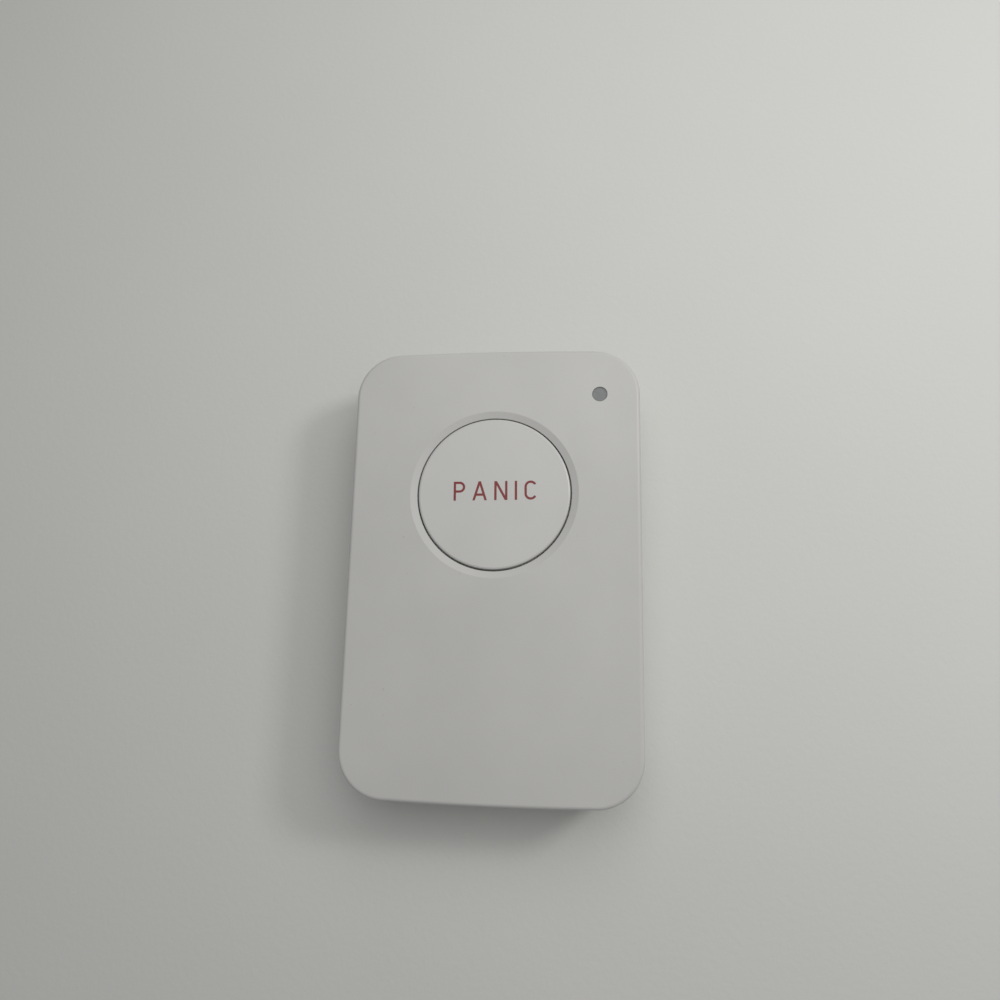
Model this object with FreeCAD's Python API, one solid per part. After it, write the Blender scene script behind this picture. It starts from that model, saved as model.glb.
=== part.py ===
import FreeCAD, Part
import math
import os

# Wireless panic button: a small rounded-rectangle transmitter with one large round button.
# Millimetres. +Z comes out of the front, +Y runs towards the lamp end, +X is to the right
# seen from the front. The origin is the centre of the back face.

Vector = FreeCAD.Vector

# Outline of the housing, seen from the front
body_width = 45.0
body_length = 68.1          # between the corners' ends of the two bowed end edges
end_bow = 0.45              # how far each end edge swells past those corners
corner_radius = 7.1

# Stack of pieces from the back face to the front face
door_sink = 0.15
door_thickness = 1.25
cell_clearance = 0.3
cell_thickness = 3.2
contact_room = 0.5
board_thickness = 1.0
switch_height = 4.3
striker_height = 0.5
cap_thickness = 1.5
cap_recess = 0.3

# Moulded walls
side_wall = 1.6
front_wall = 1.8
back_wall = 1.6
front_edge_round = 0.6
back_edge_chamfer = 0.9
parting_height = 5.6
lip_height = 1.2
lip_thickness = 0.75
lip_clearance = 0.05
reveal_width = 0.4
reveal_depth = 0.3
front_rib_thickness = 0.8
front_rib_depth = 1.2
front_rib_pitch = 7.0
front_rib_count = 3
seat_gap = 0.1              # between pieces that only locate each other

# Round button, its opening and its guide
cap_radius = 11.86
button_gap = 0.19
cap_edge_round = 0.3
cap_edge_steps = 2          # flats that make up the rounded edge
cap_skirt_wall = 1.3
dish_width = 1.05
dish_depth = 0.35
flange_overlap = 1.1
flange_thickness = 1.0
flange_clearance = 0.05
press_travel = 0.5
guide_play = 0.2
rest_shift = 0.1            # by which the loose button lies to one side of its guide
rest_angle = 105.0          # and the direction, from +X
guide_wall = 1.0
guide_depth = 2.4
ear_count = 3
ear_width = 3.0
ear_reach = 0.9
ear_clearance = 0.25
first_ear_angle = 90.0
cap_rib_count = 6
cap_rib_thickness = 0.8
cap_rib_depth = 0.8
striker_radius = 2.2
spring_seat_wall = 0.7
spring_seat_depth = 0.7

# Return spring round the switch
spring_mean_radius = 5.5
spring_wire = 0.5
spring_turns = 3.5
spring_steps = 16           # straight lengths in one turn
spring_sides = 6
spring_play = 0.3

# Tactile switch
switch_width = 6.0
switch_body_height = 3.5    # board to the top of the metal frame
frame_thickness = 0.3
frame_tab_width = 2.4
frame_tab_drop = 2.2
plunger_radius = 1.7
plunger_flange_radius = 2.1
plunger_flange_thickness = 0.7
plunger_play = 0.08
dome_spare = 0.12           # rise of the snap dome beyond the travel
dome_thickness = 0.1
dome_leg_width = 1.1
terminal_width = 0.7
terminal_thickness = 0.3
terminal_spread = 4.5       # between the two terminals of one side
terminal_foot = 0.8
terminal_exit = 0.7

# Lamp and its light pipe
lamp_from_side = 6.2
lamp_from_end = 7.0
lamp_window_radius = 1.15
lamp_recess = 0.15
lamp_hole_play = 0.03
pipe_flange_radius = 1.9
pipe_flange_thickness = 0.8
pipe_lamp_gap = 0.25
sleeve_wall = 0.8
sleeve_depth = 2.0
lamp_length = 2.0
lamp_width = 1.25
lamp_height = 0.8

# Circuit board
board_edge_gap = 0.6
board_hole_play = 0.1

# Screws that hold the two covers together, and their posts
case_screw_radius = 1.0
case_screw_length = 8.0
case_screw_head_radius = 1.9
case_screw_head_height = 1.3
counterbore_play = 0.3
counterbore_depth = 2.2
case_boss_radius = 2.5
case_post_radius = 3.2
pilot_play = 0.01
pilot_spare = 0.4
cross_width = 0.5
cross_length = 2.2
cross_depth = 0.8
lower_screw_from_side = 5.2
lower_screw_from_end = 5.45
upper_screw_from_end = 4.45
upper_boss_gap = 1.4        # from the upper screw's boss to the button's guide ring
gusset_thickness = 0.8
gusset_reach = 3.9
gusset_drop = 2.6

# Screws that hold the board to the front cover
board_screw_gap = 1.7       # from the guide ring to a standoff
board_screw_angle = 35.0    # below the button's cross line
board_screw_radius = 0.8
board_screw_length = 4.2
board_screw_head_radius = 1.5
board_screw_head_height = 1.0
standoff_radius = 2.0

# Coin cell, its bay and its holder
cell_from_end = 15.55
cell_radius = 10.0
cell_edge = 0.35
cell_cap_step = 0.3
cell_cap_radius = 8.7
bay_play = 0.4
bay_floor = 0.9
finger_notch_radius = 2.6
holder_play = 0.25
holder_wall = 1.2
holder_seat_radius = 7.5
holder_seat_thickness = 0.35
holder_peg_radius = 0.7
holder_peg_rise = 0.5
holder_peg_circle = 9.0

# Contacts of the cell
contact_thickness = 0.3
contact_width = 4.0
contact_play = 0.2
contact_touch_gap = 0.03
contact_foot = 2.6
contact_tip_rise = 0.5
leaf_thickness = 0.15
leaf_width = 2.4
leaf_foot = 2.5
leaf_length = 8.0
leaf_tip = 1.0

# Sliding battery door
door_side_margin = 1.6      # from the cell opening to the panel's edge
door_head_margin = 1.2      # from the cell opening to the door's inner end
door_corner = 2.0
tongue_reach = 0.9
rail_lip = 0.6
slide_gap = 0.07
rail_wall = 1.0
grip_length = 12.0
grip_width = 7.0
grip_depth = 0.45
grip_from_end = 6.05
grip_bar_count = 4
grip_bar_width = 0.6

# Small parts on the front side of the board
controller_x = 7.6
controller_above_cell = 1.5
controller_length = 8.65
controller_width = 3.9
controller_height = 1.45
controller_standoff = 0.1
controller_bevel = 0.25
lead_pairs = 7
lead_pitch = 1.27
lead_width = 0.4
lead_thickness = 0.2
lead_rise = 0.85
lead_shoulder = 0.45
lead_foot = 0.7
radio_x = -7.0
radio_above_cell = 5.9
radio_size = 4.0
radio_height = 0.9
radio_bevel = 0.15
crystal_x = -7.0
crystal_below_cell = 0.5
crystal_length = 5.0
crystal_width = 3.2
crystal_height = 1.1
crystal_rim = 0.25
crystal_corner = 0.6
chip_end = 0.35             # length of a small component's solder cap
chip_cap_proud = 0.05
capacitor_size = (2.0, 1.25, 0.9)
resistor_size = (2.0, 1.25, 0.5)
inductor_size = (2.5, 2.0, 1.6)
capacitor_x = -1.6
capacitor_below_cell = 4.0
capacitor_pitch = 2.6
capacitor_count = 5
resistor_from_side = 6.9
resistor_pitch = 2.4
resistor_count = 6
inductor_from_side = 9.3
inductor_above_cell = 9.5
inductor_pitch = 4.0
inductor_count = 3

# Loop antenna along the left edge of the board
antenna_gap = 0.6           # from the standoff to the strip
antenna_width = 0.8
antenna_thickness = 0.5
antenna_foot = 1.2
antenna_low_end = 19.05     # from the housing's lower end to the strip's leg
antenna_high_end = 11.05    # from the housing's upper end to the other leg
antenna_rise = 2.2
antenna_bend = 1.4

# Hidden rounds are prisms with this many sides: posts, pegs, shanks and their holes, then the
# heads of screws and the switch's plunger, then the button's guide and the cell's holder
post_sides = 12
head_sides = 18
ring_sides = 36

# Tool allowances for clean cuts and fuses
spare = 1.0
overlap = 0.2
least_corner = 0.5

# Heights worked out from the stack
door_inner_z = door_sink + door_thickness
cell_bottom_z = door_inner_z + cell_clearance
cell_top_z = cell_bottom_z + cell_thickness
board_bottom_z = cell_top_z + contact_room
board_top_z = board_bottom_z + board_thickness
plunger_top_z = board_top_z + switch_height
cap_under_z = plunger_top_z + striker_height
cap_top_z = cap_under_z + cap_thickness
front_z = cap_top_z + cap_recess
front_inner_z = front_z - front_wall
flange_top_z = front_inner_z - flange_clearance
flange_bottom_z = flange_top_z - flange_thickness
switch_top_z = board_top_z + switch_body_height
frame_bottom_z = switch_top_z - frame_thickness
bay_floor_z = door_inner_z + slide_gap
bay_floor_top_z = bay_floor_z + bay_floor

# Plan sizes worked out from the values above
half_width = body_width / 2
half_length = body_length / 2
hole_radius = cap_radius + button_gap
flange_radius = hole_radius + flange_overlap
guide_radius = flange_radius + guide_play
upper_screw_y = half_length - upper_screw_from_end
lower_screw_x = half_width - lower_screw_from_side
lower_screw_y = lower_screw_from_end - half_length
button_y = upper_screw_y - case_boss_radius - upper_boss_gap - guide_wall - guide_radius
standoff_circle = guide_radius + guide_wall + board_screw_gap + standoff_radius
board_screw_x = standoff_circle * math.cos(math.radians(board_screw_angle))
board_screw_y = button_y - standoff_circle * math.sin(math.radians(board_screw_angle))
lamp_x = half_width - lamp_from_side
lamp_y = half_length - lamp_from_end
cell_y = cell_from_end - half_length
bay_radius = cell_radius + bay_play
door_half = bay_radius + door_side_margin
door_head_y = cell_y + bay_radius + door_head_margin
channel_half = door_half + tongue_reach + slide_gap
channel_head_y = door_head_y + tongue_reach + slide_gap
grip_y = grip_from_end - half_length
holder_inner_radius = cell_radius + holder_play
holder_outer_radius = holder_inner_radius + holder_wall
far_end = body_length       # a length that surely passes the housing's end
board_inset = side_wall + board_edge_gap
cap_x = rest_shift * math.cos(math.radians(rest_angle))
cap_y = button_y + rest_shift * math.sin(math.radians(rest_angle))
antenna_x = -(board_screw_x + standoff_radius + antenna_gap + antenna_width / 2)
resistor_mid_y = (board_screw_y - standoff_radius + lower_screw_y + case_boss_radius) / 2
antenna_low_y = antenna_low_end - half_length
antenna_high_y = half_length - antenna_high_end
case_screw_spots = [
    (0.0, upper_screw_y),
    (lower_screw_x, lower_screw_y),
    (-lower_screw_x, lower_screw_y),
]
board_screw_spots = [(board_screw_x, board_screw_y), (-board_screw_x, board_screw_y)]
holder_peg_spots = [(0.0, cell_y + holder_peg_circle), (0.0, cell_y - holder_peg_circle)]


# Plain solids and selections

def block(x_low, x_high, y_low, y_high, z_low, z_high):
    return Part.makeBox(x_high - x_low, y_high - y_low, z_high - z_low, Vector(x_low, y_low, z_low))


def centred_block(x, y, length, width, z_low, z_high):
    return block(x - length / 2, x + length / 2, y - width / 2, y + width / 2, z_low, z_high)


def cylinder(x, y, z_low, z_high, radius):
    return Part.makeCylinder(radius, z_high - z_low, Vector(x, y, z_low))


def post(x, y, z_low, z_high, radius, sides=post_sides):
    # A hidden round as an upright prism; a post and its hole turn their corners the same way
    corners = []
    for index in range(sides + 1):
        angle = 2 * math.pi * index / sides
        corners.append(Vector(x + radius * math.cos(angle), y + radius * math.sin(angle), z_low))
    return Part.Face(Part.makePolygon(corners)).extrude(Vector(0, 0, z_high - z_low))


def ring_post(x, y, z_low, z_high, radius):
    return post(x, y, z_low, z_high, radius, ring_sides)


def tube(x, y, z_low, z_high, outer, inner):
    return ring_post(x, y, z_low, z_high, outer).cut(ring_post(x, y, z_low - spare, z_high + spare, inner))


def rounded_slot(x, y, length, width, z_low, z_high):
    # A stadium: a bar along X with two half-round ends
    half = (length - width) / 2
    bar = block(x - half, x + half, y - width / 2, y + width / 2, z_low, z_high)
    ends = [cylinder(x + side * half, y, z_low, z_high, width / 2) for side in (-1, 1)]
    return bar.multiFuse(ends).removeSplitter()


def turned(points, x, y):
    # A solid of revolution about the upright axis through (x, y), from (radius, height) points
    outline = [Vector(radius, 0, height) for radius, height in points]
    face = Part.Face(Part.makePolygon(outline + [outline[0]]))
    solid = face.revolve(Vector(0, 0, 0), Vector(0, 0, 1), 360)
    solid.translate(Vector(x, y, 0))
    return solid


def extruded(points, width):
    # A prism of the given width, centred on y = 0, from (x, z) points
    outline = [Vector(x, -width / 2, z) for x, z in points]
    face = Part.Face(Part.makePolygon(outline + [outline[0]]))
    return face.extrude(Vector(0, width, 0))


def placed(shape, x, y, z=0.0, turn=0.0):
    result = shape.copy()
    result.rotate(Vector(0, 0, 0), Vector(0, 0, 1), turn)
    result.translate(Vector(x, y, z))
    return result


def level_edges(shape, height):
    # Edges that lie wholly at one height
    found = []
    for edge in shape.Edges:
        box = edge.BoundBox
        if abs(box.ZMin - height) < 1e-4 and abs(box.ZMax - height) < 1e-4:
            found.append(edge)
    return found


def upright_edges(shape):
    # Straight edges that run along Z
    found = []
    for edge in shape.Edges:
        box = edge.BoundBox
        if box.ZLength > 1e-4 and box.XLength < 1e-4 and box.YLength < 1e-4:
            found.append(edge)
    return found


def cross_edges(shape):
    # Straight edges that run along Y
    return [edge for edge in shape.Edges
            if edge.BoundBox.YLength > 1e-4 and edge.BoundBox.XLength + edge.BoundBox.ZLength < 1e-4]


# Housing

def case_prism(inset, z_low, z_high):
    # The housing's outline moved inwards by inset: straight sides, bowed ends, round corners
    bow_radius = (half_width ** 2 + end_bow ** 2) / (2 * end_bow)
    bow_centre = body_length / 2 + end_bow - bow_radius
    radius = bow_radius - inset
    x = half_width - inset
    y = bow_centre + math.sqrt(radius ** 2 - x ** 2)
    crown = bow_centre + radius
    top_left = Vector(-x, y, z_low)
    top_right = Vector(x, y, z_low)
    low_right = Vector(x, -y, z_low)
    low_left = Vector(-x, -y, z_low)
    outline = Part.Wire([
        Part.Arc(top_left, Vector(0, crown, z_low), top_right).toShape(),
        Part.LineSegment(top_right, low_right).toShape(),
        Part.Arc(low_right, Vector(0, -crown, z_low), low_left).toShape(),
        Part.LineSegment(low_left, top_left).toShape(),
    ])
    solid = Part.Face(outline).extrude(Vector(0, 0, z_high - z_low))
    return solid.makeFillet(max(corner_radius - inset, least_corner), upright_edges(solid))


def rear_envelope():
    # The rear cover's outside, with its chamfered back edge
    outside = case_prism(0, 0, parting_height)
    return outside.makeChamfer(back_edge_chamfer, level_edges(outside, 0))


def guide_slots(z_low, z_high):
    # Notches in the guide ring, one for each ear of the button
    width = ear_width + 2 * ear_clearance
    notch = block(cap_radius, guide_radius + guide_wall + spare, -width / 2, width / 2, z_low, z_high)
    turn = 360 / ear_count
    return [placed(notch, 0, button_y, 0, first_ear_angle + turn * index) for index in range(ear_count)]


def corner_gussets(x, y):
    # Two thin webs that tie a corner boss to the side wall and to the end wall
    side = 1 if x > 0 else -1
    z_low = front_inner_z - gusset_drop
    z_high = front_inner_z + overlap
    reach = side * gusset_reach
    across = block(min(x, x + reach), max(x, x + reach), y - gusset_thickness / 2,
                   y + gusset_thickness / 2, z_low, z_high)
    along = block(x - gusset_thickness / 2, x + gusset_thickness / 2, y - gusset_reach - spare, y,
                  z_low, z_high)
    return [across, along]


def front_ribs():
    # Stiffening ribs under the plain lower half of the front wall
    half = half_width - side_wall + overlap
    first_y = button_y - guide_radius - guide_wall - front_rib_pitch / 2
    ribs = []
    for index in range(front_rib_count):
        y = first_y - index * front_rib_pitch
        ribs.append(block(-half, half, y - front_rib_thickness / 2, y + front_rib_thickness / 2,
                          front_inner_z - front_rib_depth, front_inner_z + overlap))
    return ribs


def front_cover():
    outside = case_prism(0, parting_height, front_z)
    outside = outside.makeFillet(front_edge_round, level_edges(outside, front_z))
    shell = outside.cut(case_prism(side_wall, parting_height - spare, front_inner_z))

    # Rebate for the rear cover's lip, and the narrow reveal groove at the parting line
    rebate_inset = side_wall - lip_thickness - lip_clearance
    rebate_top = parting_height + lip_height + lip_clearance
    shell = shell.cut(case_prism(rebate_inset, parting_height - spare, rebate_top))
    groove = case_prism(-spare, parting_height - spare, parting_height + reveal_width)
    groove = groove.cut(case_prism(reveal_depth, parting_height - 2 * spare,
                                   parting_height + spare + reveal_width))
    shell = shell.cut(groove)

    # Guide ring of the button, sleeve of the light pipe, bosses, standoffs and ribs
    top = front_inner_z + overlap
    added = [ring_post(0, button_y, front_inner_z - guide_depth, top, guide_radius + guide_wall)]
    added.append(post(lamp_x, lamp_y, front_inner_z - sleeve_depth, top,
                      pipe_flange_radius + seat_gap + sleeve_wall))
    for x, y in case_screw_spots:
        added.append(post(x, y, board_top_z, top, case_boss_radius))
        if x != 0:
            added.extend(corner_gussets(x, y))
    for x, y in board_screw_spots:
        added.append(post(x, y, board_top_z, top, standoff_radius))
    added.extend(front_ribs())
    shell = shell.multiFuse(added).common(outside)

    # Openings: button hole with its shallow dish, guide bore, light pipe, pilot holes
    dish = turned([(0, front_z - dish_depth), (hole_radius, front_z - dish_depth),
                   (hole_radius + dish_width, front_z), (hole_radius + dish_width, front_z + spare),
                   (0, front_z + spare)], 0, button_y)
    removed = [dish, cylinder(0, button_y, front_inner_z - spare, front_z, hole_radius)]
    removed.append(ring_post(0, button_y, front_inner_z - guide_depth - spare, front_inner_z, guide_radius))
    removed.extend(guide_slots(front_inner_z - guide_depth - spare, front_inner_z))
    removed.append(cylinder(lamp_x, lamp_y, front_inner_z - spare, front_z + spare,
                            lamp_window_radius + lamp_hole_play))
    removed.append(post(lamp_x, lamp_y, front_inner_z - sleeve_depth - spare, front_inner_z,
                        pipe_flange_radius + seat_gap))
    pilot_top = counterbore_depth + case_screw_length + pilot_spare
    for x, y in case_screw_spots:
        removed.append(post(x, y, board_top_z - spare, pilot_top, case_screw_radius + pilot_play))
    pilot_top = board_bottom_z + board_screw_length + pilot_spare
    for x, y in board_screw_spots:
        removed.append(post(x, y, board_top_z - spare, pilot_top, board_screw_radius + pilot_play))
    return shell.cut(Part.makeCompound(removed)).removeSplitter()


def door_plate(growth, z_low, z_high):
    # A slab with the door's outline grown by growth: open towards the outer end, round inner corners
    half = door_half + growth
    plate = block(-half, half, -far_end, door_head_y + growth, z_low, z_high)
    inner = [edge for edge in upright_edges(plate) if edge.BoundBox.YMin > cell_y]
    return plate.makeFillet(door_corner + growth, inner)


def rear_cover():
    outside = rear_envelope()
    shell = outside.cut(case_prism(side_wall, back_wall, parting_height + spare))

    # Lip that stands up inside the front cover
    lip = case_prism(side_wall - lip_thickness, parting_height - overlap, parting_height + lip_height)
    lip = lip.cut(case_prism(side_wall, parting_height - spare, parting_height + lip_height + spare))

    # Thickened floor over the door's channel, and the screw posts
    pad = block(-channel_half - rail_wall, channel_half + rail_wall, -far_end,
                channel_head_y + rail_wall, back_wall - overlap, bay_floor_top_z)
    added = [lip, pad.common(outside)]
    for x, y in case_screw_spots:
        screw_post = post(x, y, back_wall - overlap, board_bottom_z, case_post_radius)
        added.append(screw_post.common(case_prism(side_wall - overlap, 0, board_bottom_z + spare)))
    shell = shell.multiFuse(added)

    # Channel of the sliding door, cell opening with its finger notch, screw holes
    window = door_plate(slide_gap, -spare, bay_floor_z)
    channel = door_plate(tongue_reach + slide_gap, rail_lip, bay_floor_z)
    removed = [window, channel]
    removed.append(cylinder(0, cell_y, bay_floor_z - overlap, bay_floor_top_z + spare, bay_radius))
    removed.append(cylinder(0, cell_y + bay_radius, bay_floor_z - overlap, bay_floor_top_z + spare,
                            finger_notch_radius).common(
        block(-far_end, far_end, -far_end, channel_head_y - overlap, 0, parting_height)))
    for x, y in case_screw_spots:
        removed.append(cylinder(x, y, -spare, counterbore_depth, case_screw_head_radius + counterbore_play))
        removed.append(post(x, y, -spare, board_bottom_z + spare, case_screw_radius + board_hole_play))
    for piece in removed:
        shell = shell.cut(piece)
    return shell.removeSplitter()


def battery_door():
    # A flat panel with tongues on three sides; its outer end follows the housing's end
    panel = door_plate(0, door_sink, door_inner_z)
    tongues = door_plate(tongue_reach, rail_lip + slide_gap, door_inner_z)
    door = panel.fuse(tongues).common(rear_envelope())
    recess = rounded_slot(0, grip_y, grip_length, grip_width, door_sink - spare, door_sink + grip_depth)
    pitch = grip_width / (grip_bar_count + 1)
    for index in range(grip_bar_count):
        y = grip_y + pitch * (index - (grip_bar_count - 1) / 2)
        recess = recess.cut(block(-grip_length, grip_length, y - grip_bar_width / 2,
                                  y + grip_bar_width / 2, door_sink - 2 * spare, parting_height))
    return door.cut(recess).removeSplitter()


# Button and return spring

def button_cap():
    # An inverted shallow cup: flat top, skirt, retaining flange with ears, ribs and a central striker
    skirt_radius = cap_radius - cap_skirt_wall
    profile = [(0, flange_bottom_z), (cap_radius, flange_bottom_z)]
    for index in range(cap_edge_steps + 1):
        angle = math.pi / 2 * index / cap_edge_steps
        profile.append((cap_radius - cap_edge_round * (1 - math.cos(angle)),
                        cap_top_z - cap_edge_round * (1 - math.sin(angle))))
    cup = turned(profile + [(0, cap_top_z)], 0, 0)
    flange = ring_post(0, 0, flange_bottom_z, flange_top_z, flange_radius)
    ear = block(cap_radius, flange_radius + ear_reach, -ear_width / 2, ear_width / 2,
                flange_bottom_z, flange_top_z)
    turn = 360 / ear_count
    ears = [placed(ear, 0, 0, 0, first_ear_angle + turn * index) for index in range(ear_count)]
    cup = cup.multiFuse([flange] + ears)
    cup = cup.cut(ring_post(0, 0, flange_bottom_z - spare, cap_under_z, skirt_radius))

    seat_inner = spring_mean_radius + spring_wire / 2 + spring_play
    seat_outer = seat_inner + spring_seat_wall
    seat = tube(0, 0, cap_under_z - spring_seat_depth, cap_under_z + overlap, seat_outer, seat_inner)
    rib = block(seat_inner + spring_seat_wall / 2, skirt_radius + overlap, -cap_rib_thickness / 2,
                cap_rib_thickness / 2, cap_under_z - cap_rib_depth, cap_under_z + overlap)
    step = 360 / cap_rib_count
    ribs = [placed(rib, 0, 0, 0, step * index) for index in range(cap_rib_count)]
    striker = post(0, 0, plunger_top_z, cap_under_z + overlap, striker_radius, head_sides)
    cup = cup.multiFuse([seat, striker] + ribs)
    return placed(cup.removeSplitter(), cap_x, cap_y)


def return_spring():
    # A compression spring from the board to the button's underside: a hexagonal wire section
    # swept along a helix of short straight lengths, with its two ends ground flat
    height = cap_under_z - board_top_z
    count = round(spring_turns * spring_steps)
    points = []
    for index in range(count + 1):
        angle = 2 * math.pi * index / spring_steps
        points.append(Vector(spring_mean_radius * math.cos(angle), spring_mean_radius * math.sin(angle),
                             height * index / count))
    ring = Part.makeCircle(spring_wire / 2, points[0], points[1] - points[0])
    section = Part.makePolygon(ring.discretize(Number=spring_sides + 1))
    coil = Part.makePolygon(points).makePipeShell([section], True, False, 1)
    coil = coil.common(cylinder(0, 0, 0, height, spring_mean_radius + spring_wire))
    return placed(coil, 0, button_y, board_top_z)


# Tactile switch

def plunger_seat_z():
    # Height of the switch's cavity floor, under the plunger's flange and the snap dome
    return frame_bottom_z - plunger_play - plunger_flange_thickness - press_travel - dome_spare


def switch_body():
    body = centred_block(0, 0, switch_width, switch_width, board_top_z, frame_bottom_z)
    body = body.makeChamfer(frame_thickness, upright_edges(body))
    body = body.cut(post(0, 0, plunger_seat_z(), frame_bottom_z + spare,
                         plunger_flange_radius + plunger_play, head_sides))
    return placed(body, 0, button_y)


def switch_frame():
    # Folded sheet metal: a top plate with a hole, and a tab down each of two sides
    half = switch_width / 2
    plate = block(-half + frame_thickness, half - frame_thickness, -half - frame_thickness,
                  half + frame_thickness, frame_bottom_z, switch_top_z)
    for side in (-1, 1):
        low = min(side * half, side * (half + frame_thickness))
        tab = block(-frame_tab_width / 2, frame_tab_width / 2, low, low + frame_thickness,
                    switch_top_z - frame_tab_drop, switch_top_z)
        plate = plate.fuse(tab)
    plate = plate.cut(post(0, 0, frame_bottom_z - spare, switch_top_z + spare,
                           plunger_radius + plunger_play, head_sides))
    return placed(plate.removeSplitter(), 0, button_y)


def switch_plunger():
    flange_top = frame_bottom_z - plunger_play
    flange_low = flange_top - plunger_flange_thickness
    stem = post(0, 0, flange_low, plunger_top_z, plunger_radius, head_sides)
    flange = post(0, 0, flange_low, flange_top, plunger_flange_radius, head_sides)
    return placed(stem.fuse(flange).removeSplitter(), 0, button_y)


def snap_dome():
    # A four-legged dome of thin spring steel: two crossed arched strips, their feet on the
    # cavity floor and their flat crown under the plunger
    low = plunger_seat_z()
    high = low + press_travel + dome_spare - plunger_play
    foot = plunger_flange_radius - dome_thickness
    crown = plunger_radius / 2
    arch = extruded([
        (-foot, low), (-crown, high), (crown, high), (foot, low), (foot - dome_thickness, low),
        (crown, high - dome_thickness), (-crown, high - dome_thickness), (dome_thickness - foot, low),
    ], dome_leg_width)
    return placed(arch.fuse(placed(arch, 0, 0, 0, 90)).removeSplitter(), 0, button_y)


def gull_wing(reach, foot, rise, thickness, width):
    # A bent lead from x = 0 at the height rise, out by reach, down to z = 0 and out by foot
    return extruded([
        (0, rise), (reach, rise), (reach, thickness), (reach + foot, thickness), (reach + foot, 0),
        (reach - thickness, 0), (reach - thickness, rise - thickness), (0, rise - thickness),
    ], width)


def switch_terminals():
    # Four bent legs that leave the switch's sides and stand on the board
    leg = gull_wing(2 * terminal_thickness, terminal_foot, terminal_exit, terminal_thickness,
                    terminal_width)
    leg.translate(Vector(switch_width / 2, 0, board_top_z))
    legs = []
    for turn in (0, 180):
        for side in (-1, 1):
            shifted = placed(leg, 0, side * terminal_spread / 2)
            legs.append(placed(shifted, 0, button_y, 0, turn))
    return Part.makeCompound(legs)


# Lamp

def status_lamp():
    # A surface-mounted lamp: a flat carrier with a smaller clear block on it
    middle = board_top_z + lamp_height / 2
    carrier = centred_block(lamp_x, lamp_y, lamp_length, lamp_width, board_top_z, middle)
    lens = centred_block(lamp_x, lamp_y, lamp_length - 2 * chip_end, lamp_width, middle,
                         board_top_z + lamp_height)
    return carrier.fuse(lens).removeSplitter()


def lamp_window():
    # Light pipe: a straight rod with a flange that seats under the front wall
    low = board_top_z + lamp_height + pipe_lamp_gap
    rod = cylinder(lamp_x, lamp_y, low, front_z - lamp_recess, lamp_window_radius)
    flange = post(lamp_x, lamp_y, front_inner_z - pipe_flange_thickness, front_inner_z,
                  pipe_flange_radius)
    return rod.fuse(flange).removeSplitter()


# Circuit board and what is soldered to it

def circuit_board():
    board = case_prism(board_inset, board_bottom_z, board_top_z)
    low = board_bottom_z - spare
    high = board_top_z + spare
    holes = [post(x, y, low, high, case_screw_radius + board_hole_play) for x, y in case_screw_spots]
    holes += [post(x, y, low, high, board_screw_radius + board_hole_play) for x, y in board_screw_spots]
    holes += [post(x, y, low, high, holder_peg_radius + board_hole_play) for x, y in holder_peg_spots]
    return board.cut(Part.makeCompound(holes)).removeSplitter()


def microcontroller():
    low = board_top_z + controller_standoff
    body = centred_block(0, 0, controller_length, controller_width, low, low + controller_height)
    body = body.makeChamfer(controller_bevel, level_edges(body, low + controller_height))
    corner_x = controller_bevel * 4 - controller_length / 2
    corner_y = controller_bevel * 4 - controller_width / 2
    mark = cylinder(corner_x, corner_y, low + controller_height - controller_standoff,
                    low + controller_height + spare, controller_bevel * 2)
    return placed(body.cut(mark), controller_x, cell_y + controller_above_cell)


def microcontroller_leads():
    # Two rows of gull-wing leads along the long sides of the chip
    lead = gull_wing(lead_shoulder, lead_foot, lead_rise, lead_thickness, lead_width)
    leads = []
    for turn, side in ((90, 1), (-90, -1)):
        for index in range(lead_pairs):
            x = controller_x + lead_pitch * (index - (lead_pairs - 1) / 2)
            y = cell_y + controller_above_cell + side * controller_width / 2
            leads.append(placed(lead, x, y, board_top_z, turn))
    return Part.makeCompound(leads)


def radio_chip():
    top = board_top_z + radio_height
    body = centred_block(radio_x, cell_y + radio_above_cell, radio_size, radio_size, board_top_z, top)
    return body.makeChamfer(radio_bevel, level_edges(body, top))


def crystal():
    # A metal can with cut corners on a slightly wider rim
    rim_top = board_top_z + crystal_rim
    rim = centred_block(0, 0, crystal_length, crystal_width, board_top_z, rim_top)
    rim = rim.makeChamfer(crystal_corner, upright_edges(rim))
    can = centred_block(0, 0, crystal_length - 2 * crystal_rim, crystal_width - 2 * crystal_rim,
                        board_top_z, board_top_z + crystal_height)
    can = can.makeChamfer(crystal_corner - crystal_rim / 2, upright_edges(can))
    return placed(rim.fuse(can).removeSplitter(), crystal_x, cell_y - crystal_below_cell)


def chip_component(size):
    # A small block with a slightly proud solder cap at each end
    length, width, height = size
    body = centred_block(0, 0, length, width - 2 * chip_cap_proud, board_top_z,
                         board_top_z + height - chip_cap_proud)
    caps = []
    for side in (-1, 1):
        x = side * (length - chip_end) / 2
        caps.append(centred_block(x, 0, chip_end, width, board_top_z, board_top_z + height))
    return body.multiFuse(caps).removeSplitter()


def capacitors():
    chip = chip_component(capacitor_size)
    first_y = cell_y - capacitor_below_cell
    return Part.makeCompound([
        placed(chip, capacitor_x, first_y + capacitor_pitch * index) for index in range(capacitor_count)
    ])


def resistors():
    chip = chip_component(resistor_size)
    x = half_width - resistor_from_side
    first_y = resistor_mid_y + resistor_pitch * (resistor_count - 1) / 2
    return Part.makeCompound([
        placed(chip, x, first_y - resistor_pitch * index) for index in range(resistor_count)
    ])


def inductors():
    chip = chip_component(inductor_size)
    x = inductor_from_side - half_width
    first_y = cell_y + inductor_above_cell
    return Part.makeCompound([
        placed(chip, x, first_y - inductor_pitch * index) for index in range(inductor_count)
    ])


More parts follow.
